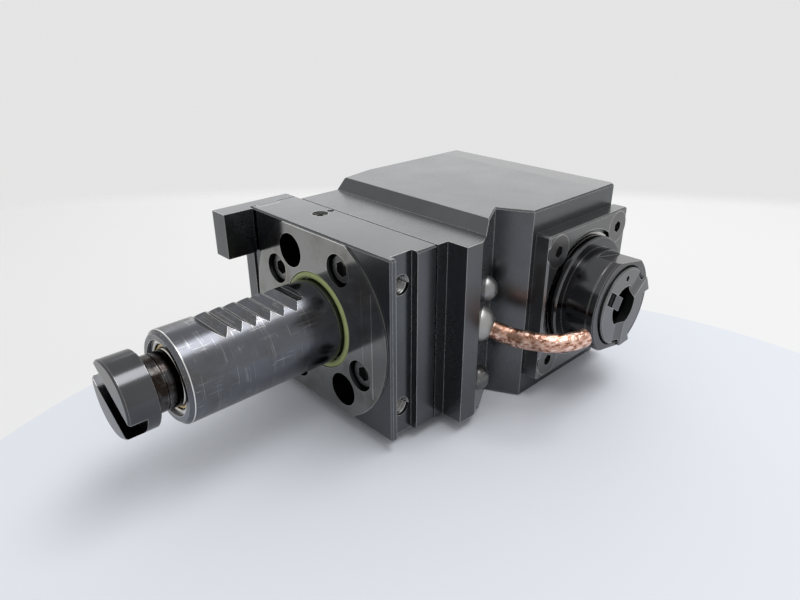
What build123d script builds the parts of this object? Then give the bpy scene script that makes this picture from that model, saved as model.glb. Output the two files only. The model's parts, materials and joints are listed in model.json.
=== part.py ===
"""Driven right-angle tool holder with a round serrated shank.

The origin is where the shank's axis meets the flange's contact face. The shank points along -X, the spindle
along -Y, and +Z is up. Lengths are in millimetres.
"""
from build123d import *
from math import acos, atan, cos, degrees, pi, radians, sin, sqrt, tan
import os

# Shank
SHANK_D = 30.0
SHANK_LENGTH = 55.0
SHANK_CHAMFER = 1.3
SHANK_BORE_D = 18.4
SHANK_SEAM_TURN = 22.5
TOOTH_PITCH = 5.0
TOOTH_COUNT = 6
TOOTH_DEPTH = 2.0
TOOTH_LAND = 1.6
TOOTH_FACE_DEG = 40.0
TOOTH_BACK_DEG = 37.0
LAST_VALLEY_TO_FACE = 14.3
TOOTH_FLOOR = 2.7
ROOT_RELIEF_WIDTH = 1.6
ROOT_RELIEF_DEPTH = 0.3

# Flange
FLANGE_THICKNESS = 20.4
FLANGE_HEIGHT = 64.6
FLANGE_WIDTH = 74.8
CONTACT_D = 71.6
CONTACT_RISE = 0.6
CONTACT_HEIGHT = 63.4
EDGE_CHAMFER = 0.6
SPIGOT_LENGTH = 5.0
SIDE_SLOT_START = 2.7
SIDE_SLOT_WIDTH = 9.0
SIDE_SLOT_DEPTH = 2.6
SIDE_HOLE_D = 6.8
SIDE_HOLE_DEPTH = 12.0
SIDE_HOLE_SPACING = 44.0
COOLANT_HOLE_D = 12.3
COOLANT_HOLE_DEPTH = 16.0
COOLANT_Y = 13.07
COOLANT_Z = 22.19
PASSAGE_D = 4.0
PLUG_D = 5.0
PLUG_LENGTH = 3.2
PLUG_MOUTH_D = 5.8
PLUG_X = 13.7
PLUG_MARK_D = 2.8
PLUG_MARK_DEPTH = 0.4
PLUG_MARK_STEP = 4.6

# Screws that join the flange to the housing: a square pattern, turned about the shank
M6_D = 6.0
M6_HEAD_D = 10.0
M6_HEX = 5.0
HEAD_RIM = 0.4
COUNTERBORE_D = 11.2
COUNTERBORE_DEPTH = 7.2
FLANGE_SCREW_PCD = 51.26
FLANGE_SCREW_TURN = 30.0
FLANGE_SCREW_GRIP = 15.0

# Locating block, held in the far side slot
BLOCK_RISE = 5.5
BLOCK_LENGTH = 20.0
ARM_REACH = 11.7
ARM_HEIGHT = 16.6
ARM_CHAMFER = 1.2
M8_D = 8.0
M8_PITCH_D = 7.19
M8_HEAD_D = 13.0
M8_HEX = 5.0

# Housing
HOUSING_END = 111.2
HOUSING_HEIGHT = 73.0
SLOPE_START = 37.66
SPINDLE_SIDE = 45.5
BACK_SIDE = 36.7
BACK_SIDE_FRONT = 33.3
BACK_TAPER_START = 41.0
BACK_TAPER_END = 57.0
WIDE_START = 25.0
GROOVE_START = 32.4
GROOVE_CORNER_X = 52.7
GROOVE_CORNER_Y = 33.7
GROOVE_END = 58.85
CHAMBER_D = 41.0
CORNER_CHAMFER = 1.5

# Spindle place and bevel gears
SPINDLE_X = 86.5
GEAR_MODULE = 1.75
GEAR_TEETH = 20
GEAR_FACE = 8.0
PRESSURE_DEG = 20.0
BACKLASH = 0.12
GEAR_HUB_BACK = 24.0
GEAR_HUB_D = 29.0
GEAR_SEAT_D = 15.0
GEAR_NUT_D = 18.4
GEAR_NUT_THICKNESS = 3.0
GEAR_THREAD_D = 13.8
KEY_WIDTH = 4.0
KEY_HEIGHT = 4.0
KEY_LENGTH = 5.0

# Bearings: bore, outside, width, ball, number of balls
SHANK_BEARING = dict(bore=15.0, outside=24.0, width=5.0, ball=2.4, count=12)
INPUT_BEARING = dict(bore=15.0, outside=35.0, width=11.0, ball=6.0, count=8)
SPINDLE_BEARING = dict(bore=25.0, outside=42.0, width=9.0, ball=4.8, count=14)
REAR_BEARING = dict(bore=12.0, outside=28.0, width=8.0, ball=4.8, count=8)
BEARING_RECESS = 1.0
INPUT_BEARING_END = 60.0
REAR_BEARING_START = 21.0
LIP_THICKNESS = 1.5
SPACER_WALL = 2.0
LOCKNUT_D = 25.0
LOCKNUT_THICKNESS = 7.0
SEAL_D = 28.0
SEAL_WIDTH = 7.0

# Input shaft
COUPLING_D = 24.1
COUPLING_LENGTH = 9.4
COUPLING_CHAMFER = 0.6
NECK_D = 17.8
NECK_LENGTH = 8.2
NECK_GROOVE = 0.5
DRIVE_SLOT_WIDTH = 8.0
DRIVE_SLOT_DEPTH = 5.3
DRIVE_SLOT_TURN = 33.5

# Bearing cap
CAP_WIDTH = 51.0
CAP_HEIGHT = 56.2
CAP_THICKNESS = 5.8
CAP_BORE_D = 38.6
CAP_RECESS_D = 49.2
CAP_RECESS_DEPTH = 1.4
CAP_SCREW_INSET_X = 5.95
CAP_SCREW_INSET_Z = 6.6
CAP_SCREW_HEAD_D = 12.0
CAP_SCREW_HEX = 4.0
CAP_SCREW_LENGTH = 16.0
SPINDLE_SHOULDER = 2.5
SPACER_WALL_INNER = 3.0
CLIP_RISE = 3.0
CLIP_BITE = 1.0
RING_D = 46.6
RING_WIDTH = 0.8
RING_SINK = 0.75
RING_WEB = 0.3

# Spindle and clamping nut
HUB_D = 38.0
COLLAR_D = 44.8
COLLAR_WIDTH = 3.0
NOSE_D = 37.0
NOSE_LENGTH = 13.0
NOSE_BAND = 2.8
NOSE_CHAMFER = 0.5
FLATS_ACROSS = 32.6
FLATS_LENGTH = 8.9
FLATS_TURN = 11.0
NUT_D = 29.0
NUT_DEPTH = 7.0
NUT_RISE = 1.1
NUT_FACE_D = 28.0
NUT_BORE_D = 15.3
NUT_TURN = 150.0
NUT_SLOT_WIDTH = 5.0
NUT_SLOT_DEPTH = 3.4
NUT_SLOT_END_R = 13.2
NUT_GROOVE_TURN = 114.0
NUT_GROOVE_R = 4.2
NUT_GROOVE_DEPTH = 1.9
NUT_EAR_TURN = 135.6
NUT_EAR_SPAN = 21.2
NUT_EAR_R = 18.5
NUT_EAR_SHORT_R = 16.9
NUT_DIMPLE_D = 2.2
TONGUE_TIP_R = 3.0
TONGUE_THICKNESS = 2.4
TONGUE_STEP_R = 8.7
TONGUE_STEP = 1.0
TAPER_DEG = 8.0
TAPER_MOUTH_D = 21.0
TAPER_DEPTH = 26.0

# Seals, nozzles and tube
ORING_D = 2.4
ORING_GROOVE_DEPTH = 1.9
TUBE_BALL_D = 13.0
JET_BALL_D = 9.4
TUBE_BALL_SINK = 2.0
JET_BALL_SINK = 1.0
JET_BORE_D = 2.4
TUBE_D = 6.5
TUBE_WALL = 1.0
TUBE_SEAT = 3.0
BALL_PLACES = {"tube": (8.0, 0.0), "upper": (14.2, 10.3), "lower": (7.0, -21.0)}
TUBE_ROUTE = [(44.0, -50.0, -3.6), (46.5, -57.0, -3.7), (51.0, -63.5, -3.8), (57.4, -67.1, -3.8),
              (62.2, -67.8, -3.8)]

# Clearances
SLIP = 0.03
FIT_GAP = 0.1
RUNNING_GAP = 0.3

# Places that follow from the sizes above
SHANK_R = SHANK_D / 2
SPIGOT_D = INPUT_BEARING["outside"]
CAP_BACK_Y = -SPINDLE_SIDE
CAP_FACE_Y = CAP_BACK_Y - CAP_THICKNESS
COLLAR_BACK_Y = CAP_FACE_Y + 0.2
NOSE_BACK_Y = COLLAR_BACK_Y - COLLAR_WIDTH
NOSE_FRONT_Y = NOSE_BACK_Y - NOSE_LENGTH
NUT_FACE_Y = NOSE_FRONT_Y - NUT_RISE
NUT_BACK_Y = NOSE_FRONT_Y + NUT_DEPTH
INPUT_BEARING_START = INPUT_BEARING_END - 2 * INPUT_BEARING["width"]
SPINDLE_BEARING_END_Y = CAP_BACK_Y + 2 * SPINDLE_BEARING["width"]
SIDE_SLOT_X = SIDE_SLOT_START + SIDE_SLOT_WIDTH / 2
SIDE_SLOT_Y = FLANGE_WIDTH / 2 - SIDE_SLOT_DEPTH
SCREW_START_X = CONTACT_RISE + COUNTERBORE_DEPTH
CHAMBER_BACK = CHAMBER_D / 2
LARGE = 400.0


def box(x, y, z):
    """A block between two values on each axis."""
    size = [abs(pair[1] - pair[0]) for pair in (x, y, z)]
    middle = [(pair[0] + pair[1]) / 2 for pair in (x, y, z)]
    return Pos(*middle) * Box(*size)


def turned_x(points):
    """A solid turned about the shank's axis from points (x, radius)."""
    return revolve(make_face(Plane.XY * Polyline(*points, close=True)), Axis.X)


def turned_y(points):
    """A solid turned about the spindle's axis from points (y, radius)."""
    face = make_face(Plane.XY * Polyline(*[(r, y) for y, r in points], close=True))
    return Pos(SPINDLE_X, 0, 0) * revolve(face, Axis.Y)


def ring_x(start, end, outer_d, inner_d):
    """A plain ring about the shank's axis."""
    return turned_x([(start, inner_d / 2), (end, inner_d / 2), (end, outer_d / 2), (start, outer_d / 2)])


def ring_y(start, end, outer_d, inner_d):
    """A plain ring about the spindle's axis."""
    return turned_y([(start, inner_d / 2), (end, inner_d / 2), (end, outer_d / 2), (start, outer_d / 2)])


def rod(start, direction, length, diameter):
    """A cylinder from a point along a direction."""
    return Plane(origin=start, z_dir=direction) * Pos(0, 0, length / 2) * Cylinder(diameter / 2, length)


def hexagon(start, direction, depth, across):
    """A hexagon socket from a point along a direction."""
    plane = Plane(origin=start, z_dir=direction)
    return extrude(plane * RegularPolygon(across / 2, 6, major_radius=False), depth)


def cap_screw(seat, direction, grip):
    """A socket head screw. The seat is the underside of its head."""
    back = tuple(-value for value in direction)
    head = chamfer(rod(seat, back, M6_HEAD_D * 0.6, M6_HEAD_D).edges().filter_by(GeomType.CIRCLE).sort_by(
        Axis(seat, back))[-1], 0.4)
    top = tuple(seat[i] + back[i] * M6_HEAD_D * 0.6 for i in range(3))
    return head + rod(seat, direction, grip, M6_D) - hexagon(top, direction, M6_HEX * 0.6, M6_HEX)


def countersunk(face, direction, head_d, body_d, length):
    """The turned form of a countersunk screw, and of the hole that takes it."""
    cone = (head_d - body_d) / 2
    profile = Polyline((0, 0), (head_d / 2, 0), (head_d / 2, HEAD_RIM), (body_d / 2, HEAD_RIM + cone),
                       (body_d / 2, length), (0, length), close=True)
    return Plane(origin=face, z_dir=direction) * revolve(make_face(Plane.XZ * profile), Axis.Z)


def flat_screw(face, direction, head_d, body_d, length, hex_across):
    """A countersunk screw. Its head lies flush in the face."""
    return (countersunk(face, direction, head_d, body_d, length)
            - hexagon(face, direction, hex_across * 0.55, hex_across))


def bearing(bore, outside, width, ball, count):
    """Outer ring, inner ring, cage and balls of a ball bearing about Z, centred on the origin."""
    pitch = (bore + outside) / 4
    land = 0.26 * ball
    groove = Torus(pitch, ball / 2 + SLIP)
    corner = 0.3

    def ring(inner, outer):
        solid = Cylinder(outer, width) - Cylinder(inner, width)
        solid = chamfer(solid.edges().filter_by(GeomType.CIRCLE), corner)
        return solid - groove
    outer_ring = ring(pitch + land, outside / 2)
    inner_ring = ring(bore / 2, pitch - land)
    rib = 0.12 * ball
    cage = Cylinder(pitch + rib, ball * 1.35) - Cylinder(pitch - rib, ball * 1.35)
    places = [Rot(0, 0, 360 * (i + 0.5) / count) * Pos(pitch, 0, 0) for i in range(count)]
    cage -= [place * Rot(0, 90, 0) * Cylinder(ball / 2 + SLIP, ball) for place in places]
    balls = [place * Sphere(ball / 2) for place in places]
    return outer_ring, inner_ring, cage, balls


def placed_bearings(spec, places):
    """The parts of one or more equal bearings, each kind gathered over all the places."""
    outer_ring, inner_ring, cage, balls = bearing(**spec)
    return (Compound(children=[place * outer_ring for place in places]),
            Compound(children=[place * inner_ring for place in places]),
            Compound(children=[place * cage for place in places]),
            Compound(children=[place * ball for place in places for ball in balls]))


def flange_screw_places():
    radius = FLANGE_SCREW_PCD / 2
    for i in range(4):
        angle = radians(FLANGE_SCREW_TURN + 90 * i)
        yield radius * cos(angle), radius * sin(angle)


def coolant_places():
    yield COOLANT_Y, COOLANT_Z
    yield -COOLANT_Y, -COOLANT_Z


def groove_frame():
    """Start and direction of the slanted nozzle face in plan, and its inward normal."""
    run_x = GROOVE_CORNER_X - GROOVE_START
    run_y = SPINDLE_SIDE - GROOVE_CORNER_Y
    length = sqrt(run_x ** 2 + run_y ** 2)
    along = (run_x / length, run_y / length)
    return along, (-along[1], along[0])


def ball_centre(name):
    along, inward = groove_frame()
    distance, z = BALL_PLACES[name]
    sink = TUBE_BALL_SINK if name == "tube" else JET_BALL_SINK
    x = GROOVE_START + distance * along[0] + sink * inward[0]
    y = -SPINDLE_SIDE + distance * along[1] + sink * inward[1]
    return x, y, z


def tooth_cut():
    """The serrated flat on the shank's upper side."""
    land_z = SHANK_R - TOOTH_LAND
    valley_z = land_z - TOOTH_DEPTH
    above = SHANK_R + 1
    face_run = TOOTH_DEPTH / tan(radians(TOOTH_FACE_DEG))
    first = -LAST_VALLEY_TO_FACE - (TOOTH_COUNT - 1) * TOOTH_PITCH
    points = [(first - (above - valley_z) / tan(radians(TOOTH_BACK_DEG)), above)]
    for i in range(TOOTH_COUNT):
        valley = first + i * TOOTH_PITCH
        points += [(valley, valley_z), (valley + face_run, land_z)]
    wall = points[-1][0] + TOOTH_FLOOR
    points += [(wall, land_z), (wall, above)]
    return extrude(Plane.XZ * make_face(Polyline(*points, close=True)), SHANK_D, both=True)


def shank_flange():
    seat_x = -SHANK_LENGTH + BEARING_RECESS + SHANK_BEARING["width"]
    spigot_x = FLANGE_THICKNESS + SPIGOT_LENGTH
    relief = SHANK_R - ROOT_RELIEF_DEPTH
    shank = turned_x([(-SHANK_LENGTH, 0), (-SHANK_LENGTH, SHANK_R - SHANK_CHAMFER),
                      (-SHANK_LENGTH + SHANK_CHAMFER, SHANK_R), (-ROOT_RELIEF_WIDTH, SHANK_R),
                      (-ROOT_RELIEF_WIDTH, relief), (CONTACT_RISE, relief), (CONTACT_RISE, 0)])
    shank = Rot(SHANK_SEAM_TURN, 0, 0) * shank - tooth_cut()
    plate = box((CONTACT_RISE, FLANGE_THICKNESS), (-FLANGE_WIDTH / 2, FLANGE_WIDTH / 2),
                (-FLANGE_HEIGHT / 2, FLANGE_HEIGHT / 2))
    plate = chamfer(plate.edges(), EDGE_CHAMFER)
    disc = ring_x(0, CONTACT_RISE, CONTACT_D, SHANK_D - 1) & box(
        (-1, 1), (-LARGE, LARGE), (-CONTACT_HEIGHT / 2, CONTACT_HEIGHT / 2))
    spigot = ring_x(FLANGE_THICKNESS - 1, spigot_x, SPIGOT_D - 2 * SLIP, SHANK_BORE_D)
    body = shank + plate + disc + spigot
    body -= ring_x(-SHANK_LENGTH - 1, seat_x, SHANK_BEARING["outside"], 0)
    body -= ring_x(seat_x - 1, spigot_x + 1, SHANK_BORE_D, 0)
    body -= ring_x(spigot_x - SEAL_WIDTH, spigot_x + 1, SEAL_D, 0)
    body -= ring_x(-0.01, ORING_GROOVE_DEPTH, SHANK_D + 2 * ORING_D + 0.4, SHANK_D - 2 * ROOT_RELIEF_DEPTH)
    for side in (-1, 1):
        body -= box((SIDE_SLOT_START, SIDE_SLOT_START + SIDE_SLOT_WIDTH),
                    (side * SIDE_SLOT_Y, side * FLANGE_WIDTH), (-LARGE, LARGE))
        for z in (-SIDE_HOLE_SPACING / 2, SIDE_HOLE_SPACING / 2):
            hole_d = M8_PITCH_D + 2 * SLIP if side > 0 else SIDE_HOLE_D
            body -= rod((SIDE_SLOT_X, side * FLANGE_WIDTH / 2, z), (0, -side, 0),
                        SIDE_SLOT_DEPTH + SIDE_HOLE_DEPTH, hole_d)
    for y, z in flange_screw_places():
        body -= rod((-1, y, z), (1, 0, 0), SCREW_START_X + 1, COUNTERBORE_D)
        body -= rod((0, y, z), (1, 0, 0), FLANGE_THICKNESS + 1, M6_D + 2 * RUNNING_GAP)
    for y, z in coolant_places():
        side = 1 if z > 0 else -1
        body -= rod((-1, y, z), (1, 0, 0), COOLANT_HOLE_DEPTH + 1, COOLANT_HOLE_D)
        body -= rod((PLUG_X, y, z), (0, 0, side), FLANGE_HEIGHT, PLUG_D + 2 * SLIP)
        body -= rod((PLUG_X, y, side * (FLANGE_HEIGHT / 2 - 0.5)), (0, 0, side), 1, PLUG_MOUTH_D)
        body -= rod((PLUG_X + PLUG_MARK_STEP, y, side * (FLANGE_HEIGHT / 2 - PLUG_MARK_DEPTH)), (0, 0, side), 1,
                    PLUG_MARK_D)
    return body - rod((0, -COOLANT_Y, -COOLANT_Z), (1, 0, 0), FLANGE_THICKNESS + 1, PASSAGE_D)


def flange_screws():
    return Compound(children=[cap_screw((SCREW_START_X, y, z), (1, 0, 0),
                                        FLANGE_THICKNESS - SCREW_START_X + FLANGE_SCREW_GRIP)
                              for y, z in flange_screw_places()])


def coolant_plugs():
    plugs = []
    for y, z in coolant_places():
        side = 1 if z > 0 else -1
        top = (PLUG_X, y, side * (FLANGE_HEIGHT / 2 - 0.7))
        plugs.append(rod(top, (0, 0, -side), PLUG_LENGTH, PLUG_D)
                     - hexagon(top, (0, 0, -side), PLUG_LENGTH / 2, PLUG_D / 2))
    return Compound(children=plugs)


def locating_block():
    side = FLANGE_WIDTH / 2
    half = FLANGE_HEIGHT / 2
    rail = box((0, BLOCK_LENGTH), (side, side + BLOCK_RISE), (-half, half))
    arm = box((-ARM_REACH, 0), (SIDE_SLOT_Y, side + BLOCK_RISE), (half - ARM_HEIGHT, half))
    block = chamfer((rail + arm).edges().filter_by(Axis.X).sort_by(Axis.Z)[0:2], ARM_CHAMFER)
    block += box((SIDE_SLOT_START + FIT_GAP, SIDE_SLOT_START + SIDE_SLOT_WIDTH - FIT_GAP),
                 (SIDE_SLOT_Y, side + 1), (-half + ARM_CHAMFER, half))
    for z in (-SIDE_HOLE_SPACING / 2, SIDE_HOLE_SPACING / 2):
        screw = (SIDE_SLOT_X, side + BLOCK_RISE, z)
        block -= countersunk(screw, (0, -1, 0), M8_HEAD_D + 2 * SLIP, M8_D + 2 * RUNNING_GAP, SIDE_HOLE_DEPTH)
    return block


def block_screws():
    y = FLANGE_WIDTH / 2 + BLOCK_RISE
    neck = BLOCK_RISE + SIDE_SLOT_DEPTH - FIT_GAP
    screws = []
    for z in (-SIDE_HOLE_SPACING / 2, SIDE_HOLE_SPACING / 2):
        screw = flat_screw((SIDE_SLOT_X, y, z), (0, -1, 0), M8_HEAD_D, M8_D, neck, M8_HEX)
        screws.append(screw + rod((SIDE_SLOT_X, y - neck, z), (0, -1, 0), SIDE_HOLE_DEPTH - 2, M8_PITCH_D))
    return Compound(children=screws)


def housing_block():
    """The milled block, as its plan outline meets its side outline."""
    slope = (HOUSING_HEIGHT - FLANGE_HEIGHT) / 2
    low, high = FLANGE_HEIGHT / 2, HOUSING_HEIGHT / 2
    plan = Polyline((FLANGE_THICKNESS, -FLANGE_WIDTH / 2), (WIDE_START, -FLANGE_WIDTH / 2),
                    (WIDE_START, -SPINDLE_SIDE), (GROOVE_START, -SPINDLE_SIDE),
                    (GROOVE_CORNER_X, -GROOVE_CORNER_Y), (GROOVE_END, -SPINDLE_SIDE),
                    (HOUSING_END - CORNER_CHAMFER, -SPINDLE_SIDE),
                    (HOUSING_END, -SPINDLE_SIDE + CORNER_CHAMFER),
                    (HOUSING_END, BACK_SIDE), (BACK_TAPER_END, BACK_SIDE), (BACK_TAPER_START, BACK_SIDE_FRONT),
                    (FLANGE_THICKNESS, BACK_SIDE_FRONT), close=True)
    profile = Polyline((FLANGE_THICKNESS, low), (SLOPE_START, low), (SLOPE_START + slope, high),
                       (HOUSING_END, high), (HOUSING_END, -high), (SLOPE_START + slope, -high),
                       (SLOPE_START, -low), (FLANGE_THICKNESS, -low), close=True)
    block = extrude(make_face(plan), HOUSING_HEIGHT, both=True)
    block &= extrude(Plane.XZ * make_face(profile), LARGE, both=True)
    rims = block.edges().filter_by(GeomType.LINE).filter_by(
        lambda edge: abs(edge.center().Z) > high - 0.01 and edge.center().X > SLOPE_START + slope + 1)
    return chamfer(rims, EDGE_CHAMFER)


def gear_housing():
    body = housing_block()
    outside = INPUT_BEARING["outside"]
    lip_d = outside - 2 * SPACER_WALL
    body -= ring_x(FLANGE_THICKNESS - 1, INPUT_BEARING_END, outside, 0)
    body -= ring_x(INPUT_BEARING_END - 1, SPINDLE_X, lip_d, 0)
    body -= ring_x(INPUT_BEARING_END + LIP_THICKNESS, SPINDLE_X, CHAMBER_D, 0)
    body -= ring_y(CAP_BACK_Y - 1, SPINDLE_BEARING_END_Y, SPINDLE_BEARING["outside"], 0)
    body -= ring_y(SPINDLE_BEARING_END_Y - 1, CHAMBER_BACK, SPINDLE_BEARING["outside"] - 3, 0)
    body -= ring_y(SPINDLE_BEARING_END_Y + LIP_THICKNESS, CHAMBER_BACK, CHAMBER_D, 0)
    body -= ring_y(CHAMBER_BACK - 1, REAR_BEARING_START + REAR_BEARING["width"] + 3, REAR_BEARING["outside"], 0)
    for y, z in flange_screw_places():
        body -= rod((0, y, z), (1, 0, 0), FLANGE_THICKNESS + FLANGE_SCREW_GRIP + 2, M6_D + 2 * SLIP)
    for x, z in cap_screw_places():
        body -= rod((x, CAP_BACK_Y - 1, z), (0, 1, 0), CAP_SCREW_LENGTH, M6_D + 2 * SLIP)
    inward = groove_frame()[1] + (0,)
    gallery = Vector(*ball_centre("tube")) + Vector(*inward) * TUBE_BALL_D / 2
    for name in BALL_PLACES:
        diameter = TUBE_BALL_D if name == "tube" else JET_BALL_D
        centre = ball_centre(name)
        body -= Pos(*centre) * Sphere(diameter / 2 + SLIP)
        body -= rod(centre, inward, TUBE_BALL_D / 2, PASSAGE_D)
    bottom = -COOLANT_Z - PASSAGE_D / 2
    top = ball_centre("upper")[2] + PASSAGE_D / 2
    body -= rod((gallery.X, gallery.Y, bottom), (0, 0, 1), top - bottom, PASSAGE_D)
    body -= rod((gallery.X, gallery.Y, -COOLANT_Z), (0, 1, 0), -COOLANT_Y - gallery.Y, PASSAGE_D)
    return body - rod((0, -COOLANT_Y, -COOLANT_Z), (1, 0, 0), gallery.X + PASSAGE_D / 2, PASSAGE_D)


def shank_oring():
    radius = SHANK_R + ORING_D / 2 + SLIP
    return Pos(ORING_GROOVE_DEPTH - ORING_D / 2 - SLIP, 0, 0) * Rot(0, 90, 0) * Torus(radius, ORING_D / 2)


def input_shaft():
    """Coupling disc, neck and shaft, turned as one piece."""
    front = -SHANK_LENGTH + BEARING_RECESS - NECK_LENGTH
    face = front - COUPLING_LENGTH
    seat_r = GEAR_SEAT_D / 2
    end = SPINDLE_X - gear_sizes()["toe_floor"]
    groove = front + NECK_LENGTH * 0.45
    disc_r = COUPLING_D / 2
    neck_r = NECK_D / 2
    shaft = turned_x([(face, 0), (face, disc_r - COUPLING_CHAMFER), (face + COUPLING_CHAMFER, disc_r),
                      (front - COUPLING_CHAMFER / 2, disc_r), (front, disc_r - COUPLING_CHAMFER / 2),
                      (front, neck_r), (groove, neck_r), (groove, neck_r - NECK_GROOVE),
                      (groove + NECK_GROOVE, neck_r - NECK_GROOVE), (groove + NECK_GROOVE, neck_r),
                      (-SHANK_LENGTH + BEARING_RECESS, neck_r), (-SHANK_LENGTH + BEARING_RECESS, seat_r),
                      (end - GEAR_NUT_THICKNESS, seat_r), (end - GEAR_NUT_THICKNESS, GEAR_THREAD_D / 2),
                      (end, GEAR_THREAD_D / 2), (end, 0)])
    slot = box((face - 1, face + DRIVE_SLOT_DEPTH), (-LARGE, LARGE),
               (-DRIVE_SLOT_WIDTH / 2, DRIVE_SLOT_WIDTH / 2))
    shaft -= Rot(DRIVE_SLOT_TURN, 0, 0) * slot
    return shaft - key_block(SLIP, "input")


def key_block(grow, which):
    """The key between a gear and its shaft, grown by a clearance where it cuts its seat."""
    near = gear_sizes()["toe_floor"] + GEAR_NUT_THICKNESS + 0.6
    half = KEY_WIDTH / 2 + grow
    middle = GEAR_SEAT_D / 2
    key = box((-near - KEY_LENGTH - grow, -near + grow), (-half, half),
              (middle - KEY_HEIGHT / 2 - grow, middle + KEY_HEIGHT / 2 + grow))
    return placed_gear(key, which)


def placed_gear(shape, which):
    """Moves what is drawn about X, with the gears' common apex at the origin, to its shaft."""
    if which == "input":
        return Pos(SPINDLE_X, 0, 0) * shape
    return Pos(SPINDLE_X, 0, 0) * Rot(0, 0, 90) * Rot(180 / GEAR_TEETH, 0, 0) * shape


def gear_sizes():
    """Places on a 45 degree bevel gear, as distances from the apex along its axis and radii."""
    pitch_r = GEAR_MODULE * GEAR_TEETH / 2
    step = GEAR_MODULE * sin(radians(45))
    cone = pitch_r / sin(radians(45))
    toe = (cone - GEAR_FACE) / cone
    return dict(pitch_r=pitch_r, toe=toe, tip=(pitch_r - step, pitch_r + step),
                root=(pitch_r + 1.25 * step, pitch_r - 1.25 * step), toe_floor=(pitch_r + 1.25 * step) * toe)


def tooth_gap(sizes):
    """The space between two teeth, drawn on the back cone and tapered to the apex."""
    pitch_r = sizes["pitch_r"]
    back_r = pitch_r / cos(radians(45))
    base_r = back_r * cos(radians(PRESSURE_DEG))
    root_r = back_r - 1.25 * GEAR_MODULE
    tip_r = back_r + 1.3 * GEAR_MODULE
    apex = 2 * pitch_r

    def involute(radius):
        pressure = acos(min(1.0, base_r / radius))
        return tan(pressure) - pressure
    half_gap = (pi * GEAR_MODULE / 4 + BACKLASH / 2) / back_r

    def section(distance):
        side = []
        for i in range(5):
            radius = root_r + (tip_r - root_r) * i / 4
            half = half_gap + involute(max(radius, base_r)) - involute(back_r)
            turn = half / sin(radians(45))
            cone_r = radius * sin(radians(45))
            along = apex - radius * cos(radians(45))
            scale = distance / along
            side.append((cone_r * scale * sin(turn), cone_r * scale * cos(turn)))
        outline = side + [(-y, z) for y, z in reversed(side)]
        plane = Plane(origin=(-distance, 0, 0), x_dir=(0, 1, 0), z_dir=(1, 0, 0))
        return make_face(plane * Polyline(*outline, close=True))
    heel = sizes["root"][0] * 1.06
    toe = sizes["tip"][0] * sizes["toe"] * 0.94
    return loft([section(heel), section(toe)], ruled=True)


def bevel_gear(which):
    sizes = gear_sizes()
    toe = sizes["toe"]
    tip_x, tip_r = sizes["tip"]
    root_x, root_r = sizes["root"]
    floor = sizes["toe_floor"]
    nut_r = GEAR_NUT_D / 2 + RUNNING_GAP / 2
    hub_x = root_x + root_r - GEAR_HUB_D / 2
    points = [(tip_x, tip_r), (tip_x * toe, tip_r * toe), (floor, root_r * toe), (floor, nut_r),
              (floor + GEAR_NUT_THICKNESS, nut_r), (floor + GEAR_NUT_THICKNESS, GEAR_SEAT_D / 2 + SLIP),
              (GEAR_HUB_BACK, GEAR_SEAT_D / 2 + SLIP), (GEAR_HUB_BACK, GEAR_HUB_D / 2), (hub_x, GEAR_HUB_D / 2)]
    gear = turned_x([(-x, r) for x, r in points])
    gap = tooth_gap(sizes)
    gear -= [Rot(360 * i / GEAR_TEETH, 0, 0) * gap for i in range(GEAR_TEETH)]
    return placed_gear(gear, which) - key_block(SLIP, which)


def gear_nut(which):
    floor = gear_sizes()["toe_floor"]
    nut = ring_x(-floor - GEAR_NUT_THICKNESS, -floor, GEAR_NUT_D, GEAR_THREAD_D + 2 * SLIP)
    for i in range(4):
        slot = box((-floor - 1, -floor + 1), (GEAR_NUT_D / 2 - 1.2, GEAR_NUT_D), (-1, 1))
        nut -= Rot(90 * i + 45, 0, 0) * slot
    return placed_gear(nut, which)


def cap_screw_places():
    across = CAP_WIDTH / 2 - CAP_SCREW_INSET_X
    up = CAP_HEIGHT / 2 - CAP_SCREW_INSET_Z
    for x in (-across, across):
        for z in (-up, up):
            yield SPINDLE_X + x, z


def bearing_cap():
    cap = box((SPINDLE_X - CAP_WIDTH / 2, SPINDLE_X + CAP_WIDTH / 2), (CAP_FACE_Y, CAP_BACK_Y),
              (-CAP_HEIGHT / 2, CAP_HEIGHT / 2))
    rim = cap.edges().filter_by(Axis.Y) + cap.faces().sort_by(Axis.Y)[0].edges()
    cap = chamfer(rim, EDGE_CHAMFER)
    cap -= ring_y(CAP_FACE_Y - 1, CAP_BACK_Y + 1, CAP_BORE_D, 0)
    cap -= ring_y(CAP_FACE_Y - 1, CAP_FACE_Y + CAP_RECESS_DEPTH, CAP_RECESS_D, 0)
    for x, z in cap_screw_places():
        cap -= countersunk((x, CAP_FACE_Y, z), (0, 1, 0), CAP_SCREW_HEAD_D + 2 * SLIP, M6_D + 2 * SLIP,
                           CAP_THICKNESS + 1)
    return cap


def cap_screws():
    return Compound(children=[flat_screw((x, CAP_FACE_Y, z), (0, 1, 0), CAP_SCREW_HEAD_D, M6_D,
                                         CAP_SCREW_LENGTH, CAP_SCREW_HEX) for x, z in cap_screw_places()])


def sealing_ring():
    """Bright ring with a low lip, in the cap's recess."""
    floor = CAP_FACE_Y + CAP_RECESS_DEPTH
    inner = HUB_D / 2 + RUNNING_GAP
    lip = CAP_FACE_Y + RING_SINK
    return turned_y([(floor, inner), (floor, RING_D / 2), (lip, RING_D / 2), (lip, RING_D / 2 - RING_WIDTH),
                     (floor - RING_WEB, RING_D / 2 - RING_WIDTH), (floor - RING_WEB, inner)])


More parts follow.
